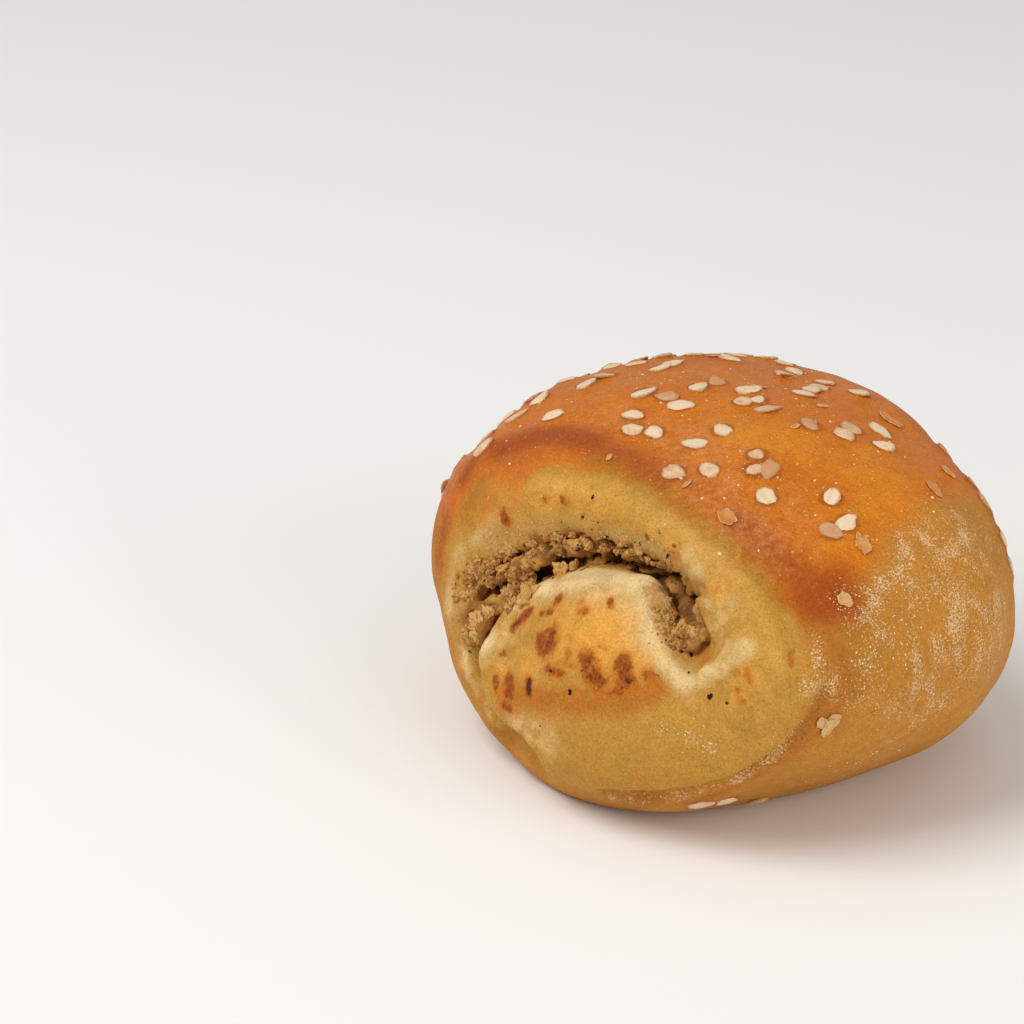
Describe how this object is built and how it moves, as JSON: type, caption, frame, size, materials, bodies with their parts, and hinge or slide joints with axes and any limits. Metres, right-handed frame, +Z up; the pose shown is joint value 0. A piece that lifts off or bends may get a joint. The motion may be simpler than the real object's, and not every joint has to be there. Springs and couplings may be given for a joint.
{
  "type": "pirozhok",
  "caption": "Baked rolled bun of yeast dough round a crescent of minced meat filling, cut across, with a glazed seeded crust.",
  "frame": {"origin": "under the middle of the roll, on the surface it rests on", "axes": "+X across the roll and its longest side, +Y along the roll from the cut end that shows to the far one, +Z up"},
  "size_m": [0.0748, 0.0636, 0.041],
  "materials": {
    "baked_dough": "egg-washed crust, golden brown and half gloss on top, pale and matt on the cut ends",
    "meat_filling": "cooked minced meat, crumbly and matt"
  },
  "bodies": {
    "root": {"dough": "baked_dough", "meat_filling": "meat_filling"}
  },
  "joints": []
}
